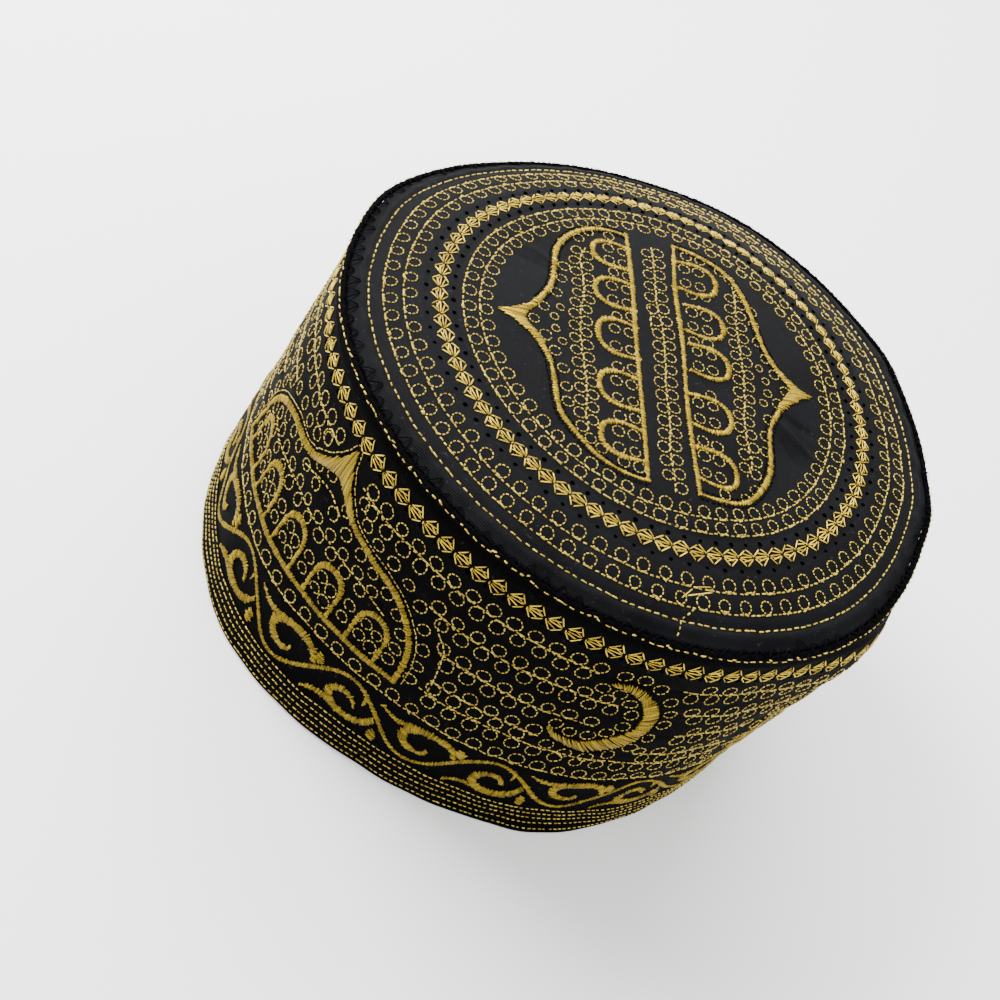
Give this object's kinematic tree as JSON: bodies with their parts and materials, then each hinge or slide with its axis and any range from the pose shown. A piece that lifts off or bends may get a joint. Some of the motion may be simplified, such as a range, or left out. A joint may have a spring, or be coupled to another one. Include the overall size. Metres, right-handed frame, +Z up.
{
  "type": "prayer cap",
  "caption": "Round flat-topped prayer cap of black cloth with gold embroidery, open below, resting on its stitched rim.",
  "frame": {"origin": "middle of the cap's outline on the floor, at the underside of the rim", "axes": "+Z up from the rim to the crown, -Y towards the side that the picture shows"},
  "size_m": [0.179, 0.1828, 0.099],
  "materials": {
    "crown_cloth": "black twill with a soft sheen, gold thread embroidery",
    "band_cloth": "matt black cloth, gold thread embroidery",
    "gold_thread": "twisted shiny gold embroidery thread",
    "black_thread": "twisted black sewing thread"
  },
  "bodies": {
    "root": {"crown_disc": "crown_cloth", "crown_seam": "band_cloth", "side_band": "band_cloth", "rim_hem": "band_cloth"}
  },
  "joints": []
}
